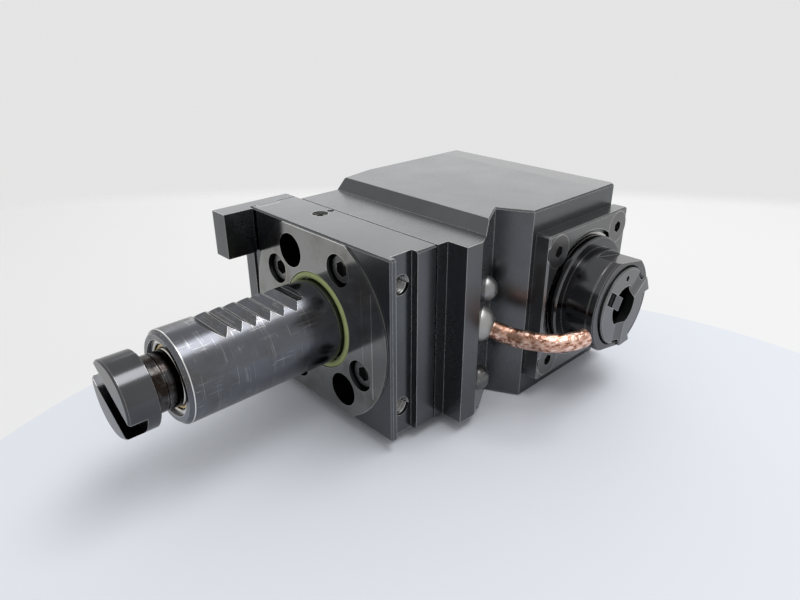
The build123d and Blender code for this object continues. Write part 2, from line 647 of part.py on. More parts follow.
def spindle():
    """Spindle with collar and nose, hollow for the tool."""
    step = -GEAR_HUB_BACK - 0.2
    seat_r = SPINDLE_BEARING["bore"] / 2
    shoulder_r = seat_r + SPINDLE_SHOULDER
    nose_r = NOSE_D / 2
    rear_end = REAR_BEARING_START + REAR_BEARING["width"]
    rear_r = REAR_BEARING["bore"] / 2
    nut_end = -gear_sizes()["toe_floor"]
    band = NOSE_FRONT_Y + NOSE_BAND
    body = turned_y([(rear_end + 2.5, 0), (rear_end + 2.5, rear_r), (rear_end + 1.2, rear_r),
                     (rear_end + 1.2, rear_r - 0.5), (rear_end + 0.1, rear_r - 0.5), (rear_end + 0.1, rear_r),
                     (REAR_BEARING_START, rear_r), (REAR_BEARING_START, rear_r + 0.8),
                     (nut_end, rear_r + 0.8), (nut_end, GEAR_THREAD_D / 2),
                     (nut_end - GEAR_NUT_THICKNESS, GEAR_THREAD_D / 2),
                     (nut_end - GEAR_NUT_THICKNESS, GEAR_SEAT_D / 2), (step, GEAR_SEAT_D / 2), (step, seat_r),
                     (CAP_BACK_Y, seat_r), (CAP_BACK_Y, shoulder_r), (CAP_BACK_Y - 0.8, shoulder_r),
                     (CAP_BACK_Y - 0.8, HUB_D / 2), (COLLAR_BACK_Y, HUB_D / 2), (COLLAR_BACK_Y, COLLAR_D / 2),
                     (NOSE_BACK_Y + 0.5, COLLAR_D / 2), (NOSE_BACK_Y, COLLAR_D / 2 - 0.5),
                     (NOSE_BACK_Y, nose_r),
                     (band + 0.3, nose_r), (band + 0.3, nose_r - 0.3), (band, nose_r - 0.3), (band, nose_r),
                     (NOSE_FRONT_Y + NOSE_CHAMFER, nose_r), (NOSE_FRONT_Y, nose_r - NOSE_CHAMFER),
                     (NOSE_FRONT_Y, 0)])
    flats = box((-LARGE, LARGE), (NOSE_FRONT_Y - 1, NOSE_FRONT_Y + FLATS_LENGTH), (FLATS_ACROSS / 2, LARGE))
    for turn in (0, 180):
        body -= Pos(SPINDLE_X, 0, 0) * Rot(0, FLATS_TURN + turn, 0) * flats
    mouth = NUT_D / 2 + SLIP
    deep_r = TAPER_MOUTH_D / 2 - TAPER_DEPTH * tan(radians(TAPER_DEG))
    body -= turned_y([(NOSE_FRONT_Y - 1, 0), (NOSE_FRONT_Y - 1, mouth + 1.8), (NOSE_FRONT_Y + 0.8, mouth),
                      (NUT_BACK_Y, mouth), (NUT_BACK_Y, TAPER_MOUTH_D / 2),
                      (NUT_BACK_Y + TAPER_DEPTH, deep_r), (NUT_BACK_Y + TAPER_DEPTH, 0)])
    return body - key_block(SLIP, "output")


def about_spindle(turn, shape):
    """Turns what is drawn along +X from the spindle's axis to an angle from +X towards +Z."""
    return Pos(SPINDLE_X, 0, 0) * Rot(0, -turn, 0) * shape


def nut_ear(side):
    """Flat ear that lies over the nose's rim, drawn along +X. Beside the groove it is shorter."""
    half = side * radians(NUT_EAR_SPAN / 2)
    root_r = NUT_D / 2 - 2
    corners = [(root_r, -half), (root_r, half), (NUT_EAR_R, half), (NUT_EAR_SHORT_R, -half)]
    plane = Plane(origin=(0, NUT_FACE_Y, 0), x_dir=(1, 0, 0), z_dir=(0, -1, 0))
    outline = Polyline(*[(r * cos(turn), r * sin(turn)) for r, turn in corners], close=True)
    return extrude(plane * make_face(outline), FIT_GAP - NUT_RISE)


def clamping_nut():
    """Threaded ring in the nose's mouth. One deep slot holds the tongue, and a round groove and an ear lie on
    each side of the line through it."""
    face_r = NUT_FACE_D / 2
    bore_r = NUT_BORE_D / 2
    nut = turned_y([(NUT_FACE_Y, bore_r), (NUT_FACE_Y, face_r), (NUT_FACE_Y + 0.5, NUT_D / 2),
                    (NUT_BACK_Y, NUT_D / 2), (NUT_BACK_Y, TAPER_MOUTH_D / 2 + 1),
                    (NUT_FACE_Y + NUT_SLOT_DEPTH, bore_r)])
    groove_y = NUT_FACE_Y + NUT_GROOVE_DEPTH - NUT_GROOVE_R
    for side in (-1, 1):
        nut += about_spindle(NUT_TURN + side * NUT_EAR_TURN, nut_ear(side))
    for side in (-1, 1):
        nut -= about_spindle(NUT_TURN + side * NUT_GROOVE_TURN,
                             rod((bore_r - 2, groove_y, 0), (1, 0, 0), NUT_D, 2 * NUT_GROOVE_R))
    slot = box((bore_r - 2, NUT_SLOT_END_R), (NUT_FACE_Y - 1, NUT_FACE_Y + NUT_SLOT_DEPTH),
               (-NUT_SLOT_WIDTH / 2, NUT_SLOT_WIDTH / 2))
    nut -= about_spindle(NUT_TURN, slot)
    return nut - rod((SPINDLE_X, NUT_FACE_Y - 1, (face_r + bore_r) / 2), (0, 1, 0), 2, NUT_DIMPLE_D)


def drive_tongue():
    """Flat tongue in the nut's deep slot. It reaches into the bore and turns the tool."""
    half = NUT_SLOT_WIDTH / 2 - SLIP
    back = NUT_FACE_Y + TONGUE_THICKNESS
    tip = box((TONGUE_TIP_R, TONGUE_STEP_R), (NUT_FACE_Y, back), (-half, half))
    root = box((TONGUE_STEP_R - 1, NUT_SLOT_END_R - SLIP), (NUT_FACE_Y + TONGUE_STEP, back), (-half, half))
    return about_spindle(NUT_TURN, tip + root)


def nozzle_ball(name):
    diameter = TUBE_BALL_D if name == "tube" else JET_BALL_D
    centre = Vector(*ball_centre(name))
    ball = Pos(centre) * Sphere(diameter / 2)
    if name == "tube":
        aim = (Vector(*TUBE_ROUTE[0]) - centre).normalized()
        ball -= rod(tuple(centre + aim * TUBE_SEAT), tuple(aim), diameter, TUBE_D)
    else:
        aim = Vector(*[-value for value in groove_frame()[1]], 0)
    return ball - rod(tuple(centre - aim * diameter), tuple(aim), 2 * diameter, JET_BORE_D)


def coolant_tube():
    """Bent copper tube, brazed into its ball."""
    centre = Vector(*ball_centre("tube"))
    aim = (Vector(*TUBE_ROUTE[0]) - centre).normalized()
    points = [centre + aim * TUBE_SEAT] + [Vector(*point) for point in TUBE_ROUTE]
    radii = []
    for before, here, after in zip(points, points[1:], points[2:]):
        turn = radians((here - before).get_angle(after - here))
        radii.append(0.45 * min((here - before).length, (after - here).length) / tan(turn / 2))
    path = FilletPolyline(*points, radius=radii)
    section = Plane(origin=path @ 0, z_dir=path % 0) * (Circle(TUBE_D / 2) - Circle(TUBE_D / 2 - TUBE_WALL))
    return sweep(section, path=path)


def turned_places(starts, width, about_x):
    """Places for bearings drawn about Z, one for each start along the shaft."""
    for start in starts:
        if about_x:
            yield Pos(start + width / 2, 0, 0) * Rot(0, 90, 0)
        else:
            yield Pos(SPINDLE_X, start + width / 2, 0) * Rot(90, 0, 0)


def bearing_nodes():
    """Every bearing's rings, cage and balls by node name."""
    shank_start = -SHANK_LENGTH + BEARING_RECESS
    width = INPUT_BEARING["width"]
    front = SPINDLE_BEARING["width"]
    groups = {
        "shank_bearing": (SHANK_BEARING, [shank_start], True),
        "input_bearing": (INPUT_BEARING, [INPUT_BEARING_START, INPUT_BEARING_START + width], True),
        "spindle_bearing": (SPINDLE_BEARING, [CAP_BACK_Y, CAP_BACK_Y + front], False),
        "rear_bearing": (REAR_BEARING, [REAR_BEARING_START], False),
    }
    nodes = {}
    for name, (spec, starts, about_x) in groups.items():
        places = list(turned_places(starts, spec["width"], about_x))
        parts = placed_bearings(spec, places)
        for kind, part in zip(("outer_ring", "inner_ring", "cage", "balls"), parts):
            nodes[name + "_" + kind] = part
    return nodes


def stack_nodes():
    """Spacers, lock nut, seal and retaining ring round the shafts."""
    spigot_x = FLANGE_THICKNESS + SPIGOT_LENGTH
    seat_d = GEAR_SEAT_D
    outside = INPUT_BEARING["outside"]
    rear_end = REAR_BEARING_START + REAR_BEARING["width"]
    rear_d = REAR_BEARING["bore"]
    return {
        "input_outer_spacer": ring_x(spigot_x, INPUT_BEARING_START, outside - 2 * SLIP,
                                     outside - 2 * SPACER_WALL),
        "input_inner_spacer": ring_x(INPUT_BEARING_END, SPINDLE_X - GEAR_HUB_BACK, seat_d + 2 * SPACER_WALL_INNER,
                                     seat_d + 2 * SLIP),
        "input_lock_nut": ring_x(INPUT_BEARING_START - LOCKNUT_THICKNESS, INPUT_BEARING_START, LOCKNUT_D,
                                 seat_d + 2 * SLIP),
        "input_shaft_seal": ring_x(spigot_x - SEAL_WIDTH, spigot_x, SEAL_D - 2 * SLIP, seat_d + 2 * SLIP),
        "spindle_spacer": ring_y(SPINDLE_BEARING_END_Y, -GEAR_HUB_BACK, GEAR_HUB_D,
                                 SPINDLE_BEARING["bore"] + 2 * SLIP),
        "rear_retaining_ring": ring_y(rear_end + 0.1, rear_end + 1.2, rear_d + CLIP_RISE,
                                      rear_d - CLIP_BITE),
    }


def all_nodes():
    nodes = {
        "shank_flange": shank_flange(),
        "flange_screws": flange_screws(),
        "coolant_plugs": coolant_plugs(),
        "locating_block": locating_block(),
        "block_screws": block_screws(),
        "shank_oring": shank_oring(),
        "gear_housing": gear_housing(),
        "bearing_cap": bearing_cap(),
        "cap_screws": cap_screws(),
        "sealing_ring": sealing_ring(),
        "tube_ball": nozzle_ball("tube"),
        "upper_jet_ball": nozzle_ball("upper"),
        "lower_jet_ball": nozzle_ball("lower"),
        "coolant_tube": coolant_tube(),
        "input_shaft": input_shaft(),
        "spindle": spindle(),
        "clamping_nut": clamping_nut(),
        "drive_tongue": drive_tongue(),
    }
    for which in ("input", "output"):
        nodes[which + "_bevel_gear"] = bevel_gear(which)
        nodes[which + "_gear_nut"] = gear_nut(which)
        nodes[which + "_gear_key"] = key_block(0, which)
    nodes.update(bearing_nodes())
    nodes.update(stack_nodes())
    return nodes


os.makedirs("parts", exist_ok=True)
for node_name, solid in all_nodes().items():
    export_step(solid, "parts/" + node_name + ".step")
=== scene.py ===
"""Looks of a driven right-angle tool holder: finishes, small details, camera and studio.

Everything is in metres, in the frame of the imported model: the origin is where the shank's axis
meets the flange's contact face, the shank points along -X, the spindle along -Y, and +Z is up.
"""

import json
import math

import bmesh
import bpy
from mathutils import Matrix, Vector, noise


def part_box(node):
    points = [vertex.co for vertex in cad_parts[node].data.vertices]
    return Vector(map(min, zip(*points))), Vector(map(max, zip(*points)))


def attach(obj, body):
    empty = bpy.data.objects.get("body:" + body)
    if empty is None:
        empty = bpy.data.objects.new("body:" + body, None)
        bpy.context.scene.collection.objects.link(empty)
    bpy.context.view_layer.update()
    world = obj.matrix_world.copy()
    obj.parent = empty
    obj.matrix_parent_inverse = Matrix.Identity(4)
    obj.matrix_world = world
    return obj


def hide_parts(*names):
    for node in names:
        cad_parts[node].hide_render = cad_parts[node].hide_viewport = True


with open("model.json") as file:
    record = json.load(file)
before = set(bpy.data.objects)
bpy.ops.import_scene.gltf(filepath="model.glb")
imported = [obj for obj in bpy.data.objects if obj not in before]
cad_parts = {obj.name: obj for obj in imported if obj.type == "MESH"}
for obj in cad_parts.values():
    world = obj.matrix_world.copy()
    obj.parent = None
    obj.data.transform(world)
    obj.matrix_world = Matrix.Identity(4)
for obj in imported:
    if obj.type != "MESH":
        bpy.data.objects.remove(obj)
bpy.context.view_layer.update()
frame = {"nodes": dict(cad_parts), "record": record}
scene = bpy.context.scene

# Camera, solved from the photograph
IMAGE_WIDTH = 800
IMAGE_HEIGHT = 600
FOCAL_PX = 649.54
CENTRE_PX = (404.56, 306.80)
CAMERA_PLACE = (-0.11762, -0.16563, 0.10143)
CAMERA_PITCH = 25.63
CAMERA_HEADING = 43.99
SENSOR = 36.0

# Studio
FLOOR_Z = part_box("gear_housing")[0].z
TABLE_CENTRE = (-0.008, -0.098)
TABLE_RADIUS = 0.180
TABLE_THICKNESS = 0.010
TABLE_COLOUR = (0.705, 0.73, 0.785)
FLOOR_CENTRE = (-0.568, -0.632)
FLOOR_RADIUS = 1.21
FLOOR_FADE = 1.165
FLOOR_THICKNESS = 0.01
FLOOR_GAP = 0.001
FLOOR_COLOUR = (0.78, 0.78, 0.78)
WORLD_LIGHT = 0.72
WORLD_SEEN = 0.78

# Shank and flange
FLANGE_FRONT = 0.0006
SHANK_MASK_R = 0.0155
SHANK_MASK_X = -0.0002
SHANK_END_CHAMFER = 0.0013
END_RING_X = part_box("shank_flange")[0].x + SHANK_END_CHAMFER
END_RING_HALF = 0.00014
CHORD_LINES = ((-0.0288, 0.9), (-0.0242, 0.35))
CHORD_WIDTH = 0.00022
CHORD_HALF = 0.019

# Oiled neck behind the coupling
COUPLING_LENGTH = 0.0094
NECK_R = 0.0091
NECK_REACH = 0.004
NECK_START_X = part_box("input_shaft")[0].x + COUPLING_LENGTH
NECK_END_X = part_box("shank_flange")[0].x + NECK_REACH

# Ground strip across the housing's top
HOUSING_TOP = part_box("gear_housing")[1].z
STRIP_X = 0.1058
STRIP_WIDTH = 0.0107
STRIP_DEPTH = 0.0002

# Threads in the two open side holes
SIDE_HOLE_PLACES = [(0.0072, -0.0348, z) for z in (-0.022, 0.022)]
SIDE_HOLE_R = 0.0034
SIDE_HOLE_DEPTH = 0.012
THREAD_PITCH = 0.00125
THREAD_DEPTH = 0.0005
THREAD_STEPS = 48
THREAD_WALL = 0.00002

# Copper tube
TUBE_VOXEL = 0.00022
TUBE_DENT = 0.00022
TUBE_SMOOTH_END = 0.004
TUBE_WORK_IN = 0.006
TUBE_BROWN = (0.041, 0.052)
WIDE_DENTS = (260, 260, 420)
CREASES = (520, 520, 900)
FINE_DENTS = (1500, 1500, 2300)
PAINTED_DENTS = (260.0, 560.0, 860.0)

# Colours of bare and rubbed metal, and the stretch of the lines left by each way of working
RUBBED_STEEL = (0.80, 0.79, 0.76)
SCRIBED_STEEL = (0.80, 0.79, 0.77)
MILLED_LINES = (60.0, 2600.0, 2600.0)
GROUND_LINES = (40.0, 3000.0, 3000.0)
BRUSHED_LINES = (4200.0, 70.0, 70.0)
TURNED_LINES = (3200.0, 26.0, 26.0)
SLID_LINES = (70.0, 2400.0, 2400.0)
SLID_TURN = (0, 0, 0.12)
FINE_GRAIN = 1400.0
BUMP_HEIGHT = 0.00002


# Shader helpers


def add(tree, kind, inputs=None, **settings):
    """Adds a shader node. An input is a value, or the output of another node."""
    made = tree.nodes.new(kind)
    for key, value in settings.items():
        setattr(made, key, value)
    for key, value in (inputs or {}).items():
        if isinstance(value, bpy.types.NodeSocket):
            tree.links.new(value, made.inputs[key])
        else:
            made.inputs[key].default_value = value
    return made


def calc(tree, operation, a, b=0.0):
    return add(tree, "ShaderNodeMath", {0: a, 1: b}, operation=operation).outputs[0]


def times(tree, a, b):
    return calc(tree, "MULTIPLY", a, b)


def plus(tree, a, b):
    return calc(tree, "ADD", a, b)


def near(tree, value, middle, reach):
    """1 where the value is within reach of the middle."""
    return calc(tree, "LESS_THAN", calc(tree, "ABSOLUTE", calc(tree, "SUBTRACT", value, middle)), reach)


def opaque(colour, factor=1.0):
    """A colour times a factor, with the alpha that colour sockets want."""
    return tuple(c * factor for c in colour) + (1,)


def blend_colour(tree, share, a, b):
    return add(tree, "ShaderNodeMix", {0: share, 6: a, 7: b}, data_type="RGBA").outputs[2]


def blend_value(tree, share, a, b):
    return add(tree, "ShaderNodeMix", {0: share, 2: a, 3: b}, data_type="FLOAT").outputs[0]


def ramp(tree, value, low, high):
    """0 below low, 1 above high, smooth between."""
    made = add(tree, "ShaderNodeMapRange", {"Value": value, "From Min": low, "From Max": high},
               interpolation_type="SMOOTHSTEP")
    return made.outputs[0]


def place(tree):
    return add(tree, "ShaderNodeTexCoord").outputs["Object"]


def coordinates(tree, where):
    return add(tree, "ShaderNodeSeparateXYZ", {0: where}).outputs[:3]


def off_axis(tree, y, z):
    """Distance from the shank's axis."""
    return calc(tree, "SQRT", plus(tree, times(tree, y, y), times(tree, z, z)))


def stretched(tree, where, scale, turn=(0, 0, 0)):
    made = add(tree, "ShaderNodeMapping", {"Vector": where, "Scale": scale, "Rotation": turn})
    return made.outputs[0]


def grain(tree, where, scale, detail=3.0, roughness=0.55, distortion=0.0):
    made = add(tree, "ShaderNodeTexNoise", {"Vector": where, "Scale": scale, "Detail": detail,
                                            "Roughness": roughness, "Distortion": distortion})
    return made.outputs["Fac"]


def mottle(tree, where):
    """Soft clouds in the black oxide."""
    return grain(tree, where, 38.0, 5.0, 0.6)


def scratches(tree, where, scale, turn=(0, 0, 0), low=0.66, high=0.74):
    """Fine lines: noise drawn out along one direction, and broken up by a coarser noise."""
    lines = ramp(tree, grain(tree, stretched(tree, where, scale, turn), 1.0, 2.0), low, high)
    breaks = ramp(tree, grain(tree, where, 160.0, 2.0), 0.45, 0.6)
    return times(tree, lines, breaks)


def edge_mask(tree, radius, low, high, where):
    """1 along worn edges: where the bevelled normal leaves the true one, broken up by noise."""
    soft = add(tree, "ShaderNodeBevel", {"Radius": radius}, samples=6).outputs[0]
    hard = add(tree, "ShaderNodeNewGeometry").outputs["Normal"]
    match = add(tree, "ShaderNodeVectorMath", {0: soft, 1: hard}, operation="DOT_PRODUCT")
    turn = calc(tree, "SUBTRACT", 1.0, match.outputs["Value"])
    uneven = times(tree, turn, plus(tree, grain(tree, where, 420.0, 3.0), 0.35))
    return ramp(tree, uneven, low, high)


def new_material(name):
    material = bpy.data.materials.new(name)
    material.use_nodes = True
    tree = material.node_tree
    shader = tree.nodes["Principled BSDF"]
    return material, tree, shader


def drive(tree, shader, name, value):
    if isinstance(value, bpy.types.NodeSocket):
        tree.links.new(value, shader.inputs[name])
    else:
        shader.inputs[name].default_value = value


def fed_by(shader, name):
    """What already feeds one of the shader's inputs."""
    return shader.inputs[name].links[0].from_socket


def bump(tree, shader, height, strength, distance):
    made = add(tree, "ShaderNodeBump", {"Height": height, "Strength": strength, "Distance": distance})
    tree.links.new(made.outputs[0], shader.inputs["Normal"])


# Finishes


def blackened(name, steel=(0.112, 0.115, 0.121), rough=0.26, wear=0.65, spread=0.10):
    """Black oxide on milled steel: dark and satin, with milling lines, bright where edges are worn."""
    material, tree, shader = new_material(name)
    where = place(tree)
    colour = blend_colour(tree, mottle(tree, where), opaque(steel, 0.72), opaque(steel, 1.25))
    lines = scratches(tree, where, MILLED_LINES)
    colour = blend_colour(tree, times(tree, lines, 0.18), colour, (0.36, 0.36, 0.36, 1))
    edge = times(tree, edge_mask(tree, 0.00045, 0.012, 0.12, where), wear)
    colour = blend_colour(tree, edge, colour, opaque(RUBBED_STEEL))
    drive(tree, shader, "Base Color", colour)
    drive(tree, shader, "Metallic", 1.0)
    cloud = grain(tree, where, 65.0, 4.0)
    fine = grain(tree, where, FINE_GRAIN, 2.0)
    uneven = plus(tree, times(tree, cloud, spread), times(tree, fine, spread * 0.6))
    drive(tree, shader, "Roughness", plus(tree, rough - 0.08, uneven))
    bump(tree, shader, plus(tree, fine, times(tree, lines, -0.6)), 0.08, BUMP_HEIGHT)
    return material


def housing_finish(name):
    """The housing's black oxide, with the ground strip across its top."""
    material = blackened(name)
    tree = material.node_tree
    shader = tree.nodes["Principled BSDF"]
    where = place(tree)
    x, y, z = coordinates(tree, where)
    on_top = calc(tree, "GREATER_THAN", z, HOUSING_TOP - STRIP_DEPTH)
    strip = times(tree, near(tree, x, STRIP_X, STRIP_WIDTH / 2), on_top)
    brushed = grain(tree, stretched(tree, where, BRUSHED_LINES), 1.0, 3.0)
    ground = blend_colour(tree, brushed, (0.085, 0.087, 0.090, 1), (0.135, 0.137, 0.140, 1))
    colour = blend_colour(tree, strip, fed_by(shader, "Base Color"), ground)
    drive(tree, shader, "Base Color", colour)
    ground_rough = plus(tree, 0.16, times(tree, brushed, 0.14))
    rough = blend_value(tree, strip, fed_by(shader, "Roughness"), ground_rough)
    drive(tree, shader, "Roughness", rough)
    return material


def shaft_finish(name):
    """Black oxide on the turning pieces, with brown oil in the neck behind the coupling."""
    material = blackened(name, (0.082, 0.083, 0.088), 0.20, 0.40, spread=0.06)
    tree = material.node_tree
    shader = tree.nodes["Principled BSDF"]
    where = place(tree)
    x, y, z = coordinates(tree, where)
    behind = calc(tree, "GREATER_THAN", x, NECK_START_X)
    before = calc(tree, "LESS_THAN", x, NECK_END_X)
    thin = calc(tree, "LESS_THAN", off_axis(tree, y, z), NECK_R)
    in_neck = times(tree, thin, times(tree, behind, before))
    oil = times(tree, in_neck, ramp(tree, grain(tree, where, 320.0, 4.0, 0.6), 0.25, 0.60))
    colour = blend_colour(tree, oil, fed_by(shader, "Base Color"), (0.022, 0.016, 0.013, 1))
    drive(tree, shader, "Base Color", colour)
    return material


def bright(name, colour, rough=0.25):
    """Ground or polished steel with fine lines and a little brown staining."""
    material, tree, shader = new_material(name)
    where = place(tree)
    patch = ramp(tree, grain(tree, where, 90.0, 5.0, 0.6), 0.45, 0.75)
    base = blend_colour(tree, times(tree, patch, 0.35), opaque(colour), (0.16, 0.13, 0.10, 1))
    cuts = scratches(tree, where, GROUND_LINES, low=0.60, high=0.70)
    base = blend_colour(tree, times(tree, cuts, 0.5), base, (0.75, 0.75, 0.74, 1))
    drive(tree, shader, "Base Color", base)
    drive(tree, shader, "Metallic", 1.0)
    fine = grain(tree, stretched(tree, where, GROUND_LINES), 1.0, 3.0)
    drive(tree, shader, "Roughness", plus(tree, rough - 0.08, times(tree, fine, 0.16)))
    bump(tree, shader, fine, 0.08, BUMP_HEIGHT)
    return material


def contact_face_colour(tree, y, z, stain):
    """Ground and stained, with two lines scribed across it."""
    face = blend_colour(tree, stain, (0.245, 0.248, 0.245, 1), (0.160, 0.150, 0.138, 1))
    for line_y, strength in CHORD_LINES:
        short = calc(tree, "LESS_THAN", calc(tree, "ABSOLUTE", z), CHORD_HALF)
        line = times(tree, near(tree, y, line_y, CHORD_WIDTH / 2), short)
        face = blend_colour(tree, times(tree, line, strength), face, opaque(SCRIBED_STEEL))
    return face


def shank_colour(tree, x, stain, marks):
    """Ground and dark, marked by use, with a bright ring where the end chamfer starts."""
    shank = blend_colour(tree, stain, (0.125, 0.130, 0.146, 1), (0.095, 0.090, 0.086, 1))
    shank = blend_colour(tree, times(tree, marks, 0.42), shank, (0.50, 0.50, 0.52, 1))
    ring = times(tree, near(tree, x, END_RING_X, END_RING_HALF), 0.85)
    return blend_colour(tree, ring, shank, (0.85, 0.85, 0.84, 1))


def flange_finish(name):
    """One forging with three finishes: ground shank, ground contact face and blackened plate."""
    material, tree, shader = new_material(name)
    where = place(tree)
    x, y, z = coordinates(tree, where)
    ahead = calc(tree, "LESS_THAN", x, SHANK_MASK_X)
    thin = calc(tree, "LESS_THAN", off_axis(tree, y, z), SHANK_MASK_R)
    on_shank = times(tree, ahead, thin)
    on_face = calc(tree, "LESS_THAN", x, FLANGE_FRONT * 0.5)
    stain = ramp(tree, grain(tree, where, 75.0, 5.0, 0.62), 0.42, 0.75)
    turned = scratches(tree, where, TURNED_LINES, low=0.58, high=0.68)
    slid = scratches(tree, where, SLID_LINES, SLID_TURN, 0.60, 0.68)
    marks = calc(tree, "MAXIMUM", turned, slid)
    clouds = mottle(tree, where)
    black = blend_colour(tree, clouds, (0.070, 0.073, 0.078, 1), (0.135, 0.140, 0.147, 1))
    face = contact_face_colour(tree, y, z, stain)
    shank = shank_colour(tree, x, stain, marks)
    colour = blend_colour(tree, on_face, black, blend_colour(tree, on_shank, face, shank))
    edge = times(tree, edge_mask(tree, 0.0004, 0.014, 0.14, where), 0.75)
    colour = blend_colour(tree, edge, colour, opaque(RUBBED_STEEL))
    drive(tree, shader, "Base Color", colour)
    drive(tree, shader, "Metallic", 1.0)
    fine = grain(tree, where, FINE_GRAIN, 2.0)
    cloud = grain(tree, where, 60.0, 4.0)
    rough = blend_value(tree, on_face, 0.17, blend_value(tree, on_shank, 0.07, 0.16))
    uneven = plus(tree, times(tree, cloud, 0.07), times(tree, fine, 0.05))
    drive(tree, shader, "Roughness", plus(tree, rough, uneven))
    bump(tree, shader, plus(tree, fine, marks), 0.08, BUMP_HEIGHT)
    return material


def copper(name):
    """Scraped copper: bright where it is rubbed, brown near the ball, dented all over."""
    material, tree, shader = new_material(name)
    where = place(tree)
    x = coordinates(tree, where)[0]
    near_ball = calc(tree, "SUBTRACT", 1.0, ramp(tree, x, *TUBE_BROWN))
    brown = times(tree, near_ball, ramp(tree, grain(tree, where, 260.0, 4.0), 0.30, 0.60))
    dents = grain(tree, stretched(tree, where, PAINTED_DENTS), 1.0, 4.0, 0.55, 0.4)
    dark = calc(tree, "SUBTRACT", 1.0, ramp(tree, dents, 0.34, 0.50))
    crests = ramp(tree, dents, 0.40, 0.66)
    colour = blend_colour(tree, crests, (0.58, 0.30, 0.21, 1), (0.96, 0.70, 0.60, 1))
    colour = blend_colour(tree, times(tree, dark, 0.9), colour, (0.16, 0.06, 0.035, 1))
    colour = blend_colour(tree, times(tree, brown, 0.9), colour, (0.10, 0.05, 0.03, 1))
    drive(tree, shader, "Base Color", colour)
    drive(tree, shader, "Metallic", 1.0)
    drive(tree, shader, "Roughness", plus(tree, 0.20, times(tree, dents, 0.25)))
    bump(tree, shader, dents, 0.7, 0.00035)
    return material


def rubber(name, colour, rough=0.45):
    """Moulded rubber, a little uneven in colour."""
    material, tree, shader = new_material(name)
    where = place(tree)
    patch = grain(tree, where, 220.0, 4.0)
    tint = blend_colour(tree, patch, opaque(colour, 0.65), opaque(colour, 1.3))
    drive(tree, shader, "Base Color", tint)
    drive(tree, shader, "Roughness", plus(tree, rough, times(tree, patch, 0.15)))
    bump(tree, shader, grain(tree, where, 1500.0, 2.0), 0.2, 0.00004)
    return material


FINISHES = {
    "black_steel": blackened("black_steel"),
    "flange_steel": flange_finish("flange_steel"),
    "housing_steel": housing_finish("housing_steel"),
    "worn_oxide": blackened("worn_oxide", (0.165, 0.167, 0.170), 0.30, 0.60),
    "screw_steel": blackened("screw_steel", (0.15, 0.15, 0.15), 0.30, 0.45),
    "shaft_steel": shaft_finish("shaft_steel"),
    "ground_steel": bright("ground_steel", (0.50, 0.50, 0.49)),
    "bearing_steel": bright("bearing_steel", (0.62, 0.61, 0.58), rough=0.20),
    "ball_steel": bright("ball_steel", (0.36, 0.36, 0.35), rough=0.38),
    # The next two finishes are ball steel darkened as painted shade: a little for the upper jet ball,
    # much more for the lower one, recessed in its socket
    "half_shaded_ball": bright("half_shaded_ball", (0.27, 0.27, 0.27), rough=0.36),
    "shaded_ball": bright("shaded_ball", (0.13, 0.13, 0.13), rough=0.34),
    "cage_brass": bright("cage_brass", (0.60, 0.45, 0.20), rough=0.30),
    "copper": copper("copper"),
    "seal_rubber": rubber("seal_rubber", (0.28, 0.33, 0.13), 0.35),
    "dark_rubber": rubber("dark_rubber", (0.02, 0.02, 0.02)),
}

# Nodes that look different from the rest of their slot
NODE_FINISHES = {
    # The jet balls get darker copies of ball steel, as painted shade for their recesses
    "lower_jet_ball": "shaded_ball",
    "upper_jet_ball": "half_shaded_ball",
    "gear_housing": "housing_steel",
    "bearing_cap": "worn_oxide",
    "clamping_nut": "worn_oxide",
}


# Pieces


def dress_frame():
    """Gives every CAD node the finish of its slot, or its own."""
    for row in frame["record"]["subparts"]:
        piece = frame["nodes"][row["node"]]
        finish = NODE_FINISHES.get(row["node"], row["material_slot"])
        piece.data.materials.clear()
        piece.data.materials.append(FINISHES[finish])


def new_piece(name, mesh, slot, body):
    piece = bpy.data.objects.new(name, mesh)
    scene.collection.objects.link(piece)
    piece.data.materials.append(FINISHES[slot])
    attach(piece, body)
    return piece


def thread_profile():
    """The sleeve's outline: distance into the hole and radius, with one tooth a turn."""
    back = SIDE_HOLE_R + THREAD_WALL
    profile = [(0.0, back)]
    for turn in range(int(SIDE_HOLE_DEPTH / THREAD_PITCH)):
        start = turn * THREAD_PITCH
        root = (start + 0.1 * THREAD_PITCH, SIDE_HOLE_R)
        crest = (start + 0.55 * THREAD_PITCH, SIDE_HOLE_R - THREAD_DEPTH)
        profile += [root, crest]
    return profile + [(SIDE_HOLE_DEPTH, SIDE_HOLE_R), (SIDE_HOLE_DEPTH, back)]


def thread_sleeve(hole):
    """The thread inside a hole that opens towards -Y: the outline turned, moving on by a pitch."""
    built = bmesh.new()
    profile = thread_profile()
    teeth = range(1, len(profile) - 2)
    rings = []
    for step in range(THREAD_STEPS):
        angle = 2 * math.pi * step / THREAD_STEPS
        lead = THREAD_PITCH * step / THREAD_STEPS
        ring = []
        for i, (along, r) in enumerate(profile):
            depth = min(along + (lead if i in teeth else 0.0), SIDE_HOLE_DEPTH)
            x = hole[0] + r * math.cos(angle)
            z = hole[2] + r * math.sin(angle)
            ring.append(built.verts.new((x, hole[1] + depth, z)))
        rings.append(ring)
    for step in range(THREAD_STEPS):
        here = rings[step]
        there = rings[(step + 1) % THREAD_STEPS]
        for i in range(len(profile)):
            j = (i + 1) % len(profile)
            built.faces.new((here[i], here[j], there[j], there[i]))
    bmesh.ops.recalc_face_normals(built, faces=built.faces[:])
    return built


def make_threads():
    for side, hole in zip(("lower", "upper"), SIDE_HOLE_PLACES):
        name = "side_thread_" + side
        mesh = bpy.data.meshes.new(name)
        built = thread_sleeve(hole)
        built.to_mesh(mesh)
        built.free()
        new_piece(name, mesh, "screw_steel", "holder")


def noise_at(spot, scale, shift=0):
    return noise.noise(Vector((spot.x * scale[0] + shift, spot.y * scale[1], spot.z * scale[2])))


